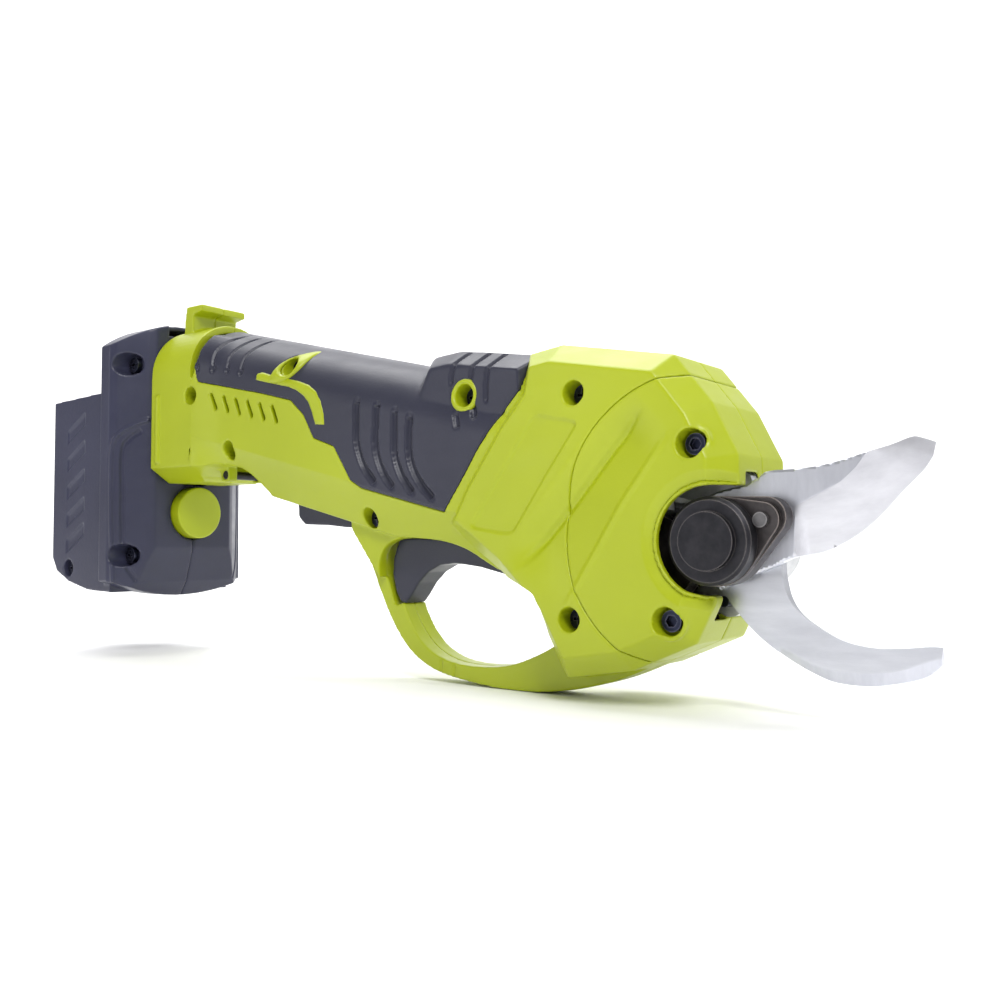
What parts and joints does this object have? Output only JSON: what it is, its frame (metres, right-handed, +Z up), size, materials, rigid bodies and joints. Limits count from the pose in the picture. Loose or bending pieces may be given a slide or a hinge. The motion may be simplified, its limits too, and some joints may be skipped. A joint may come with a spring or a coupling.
{
  "type": "battery electric pruner",
  "caption": "Hand-held electric pruner: hooked counter blade, geared cutting blade, motor in a two-shell handle with trigger guard, and a slide-off battery pack behind the foot.",
  "frame": {"origin": "centre of the overall box", "axes": "+X along the tool towards the blade tips, +Z up, -Y the side with the pivot cap"},
  "size_m": [0.3788, 0.068, 0.151],
  "materials": {
    "shell_lime": "fine texture",
    "soft_grip": "soft sheen",
    "dark_plastic": "fine texture",
    "pack_plastic": "fine texture",
    "black_plastic": "satin",
    "blade_steel": "ground",
    "dark_steel": "oiled black",
    "gunmetal": "satin, worn edges",
    "steel": "machined",
    "screw_black": "black oxide",
    "cast_aluminium": "as cast",
    "bronze": "sintered",
    "copper": "bright",
    "magnet": "dull",
    "laminate": "stacked",
    "board_green": "solder resist",
    "cell_wrap": "shrink sleeve",
    "holder": "satin",
    "lead_jacket": "silicone",
    "spring_steel": "drawn"
  },
  "bodies": {
    "tool": {"housing_right": "shell_lime", "housing_left": "shell_lime", "grip_right": "soft_grip", "grip_left": "soft_grip", "head_cover_right": "shell_lime", "head_cover_left": "shell_lime", "housing_screws": "screw_black", "cover_bolts": "screw_black", "motor_can": "steel", "motor_end_cap": "black_plastic", "motor_magnets": "magnet", "ring_gear": "steel", "motor_flange": "cast_aluminium", "gear_case_front": "cast_aluminium", "pinion_bearing": "steel", "counter_blade": "blade_steel", "counter_blade_screws": "screw_black", "pivot_bush": "bronze", "controller_board": "board_green", "power_capacitor": "black_plastic", "heatsink": "cast_aluminium", "trigger_switch": "black_plastic", "lever_pins": "steel", "terminal_block": "black_plastic", "contact_blades": "copper", "power_leads": "lead_jacket", "lanyard_pin": "steel"},
    "blade_set": {"cutting_blade": "blade_steel", "blade_gear": "dark_steel", "drive_pins": "steel", "pivot_bolt": "dark_steel", "lock_plate": "gunmetal", "lock_screw": "screw_black", "pivot_cap": "dark_steel"},
    "output": {"output_pinion": "steel", "planet_carrier": "steel", "planet_pins": "steel"},
    "planet_1": {"planet_gear_1": "steel"},
    "planet_2": {"planet_gear_2": "steel"},
    "planet_3": {"planet_gear_3": "steel"},
    "rotor": {"motor_rotor": "laminate", "motor_shaft": "steel", "sun_gear": "steel", "commutator": "copper"},
    "trigger_lever": {"trigger": "dark_plastic", "trigger_spring": "spring_steel"},
    "lockoff": {"lockoff_lever": "dark_plastic", "lockoff_spring": "spring_steel"},
    "battery": {"battery_case_right": "pack_plastic", "battery_case_left": "pack_plastic", "battery_screws": "screw_black", "battery_cells": "cell_wrap", "cell_holder_lower": "holder", "cell_holder_upper": "holder", "nickel_strips": "steel", "battery_board": "board_green", "battery_terminals": "copper"},
    "release": {"release_button": "shell_lime", "release_latch": "black_plastic", "button_spring": "spring_steel"}
  },
  "joints": [
    {"name": "blade_close", "type": "hinge", "parent": "tool", "child": "blade_set", "pos_m": [0.1326, 0, -0.02605], "axis": [0, 1, 0], "range_deg": [0, 52]},
    {"name": "output_turn", "type": "hinge", "parent": "tool", "child": "output", "pos_m": [0.11315, 0, -0.02138], "axis": [-0.9724, 0, 0.2334], "range_deg": [0, 170]},
    {"name": "rotor_turn", "type": "hinge", "parent": "tool", "child": "rotor", "pos_m": [0.05967, 0, -0.00854], "axis": [-0.9724, 0, 0.2334], "range_deg": [0, 850]},
    {"name": "trigger_squeeze", "type": "hinge", "parent": "tool", "child": "trigger_lever", "pos_m": [0.0596, 0, -0.03055], "axis": [0, 1, 0], "range_deg": [0, 6.5], "stiffness_Nm_per_rad": 1.5, "springref_deg": -5.73, "deforming": ["trigger_spring"]},
    {"name": "lockoff_press", "type": "hinge", "parent": "tool", "child": "lockoff", "pos_m": [-0.0164, 0, -0.01705], "axis": [0, 1, 0], "range_deg": [0, 6], "stiffness_Nm_per_rad": 0.8, "springref_deg": -4.58, "deforming": ["lockoff_spring"]},
    {"name": "battery_slide", "type": "slide", "parent": "tool", "child": "battery", "axis": [0, 0, -1], "range_m": [0, 0.075]},
    {"name": "release_press", "type": "slide", "parent": "battery", "child": "release", "axis": [-1, 0, 0], "range_m": [0, 0.003], "stiffness_N_per_m": 1200, "springref_m": -0.002, "deforming": ["button_spring"]},
    {"name": "planet_turn_1", "type": "hinge", "parent": "output", "child": "planet_1", "pos_m": [0.09225, -0.009, -0.01636], "axis": [-0.9724, 0, 0.2334], "range_deg": [-450, 0]},
    {"name": "planet_turn_2", "type": "hinge", "parent": "output", "child": "planet_2", "pos_m": [0.09407, 0.0045, -0.00878], "axis": [-0.9724, 0, 0.2334], "range_deg": [-450, 0]},
    {"name": "planet_turn_3", "type": "hinge", "parent": "output", "child": "planet_3", "pos_m": [0.09043, 0.0045, -0.02394], "axis": [-0.9724, 0, 0.2334], "range_deg": [-450, 0]}
  ],
  "couplings": [
    {"joint": "output_turn", "follows": "blade_close", "ratio": 3.2},
    {"joint": "rotor_turn", "follows": "blade_close", "ratio": 16},
    {"joint": "planet_turn_1", "follows": "blade_close", "ratio": -8.5333},
    {"joint": "planet_turn_2", "follows": "blade_close", "ratio": -8.5333},
    {"joint": "planet_turn_3", "follows": "blade_close", "ratio": -8.5333}
  ]
}
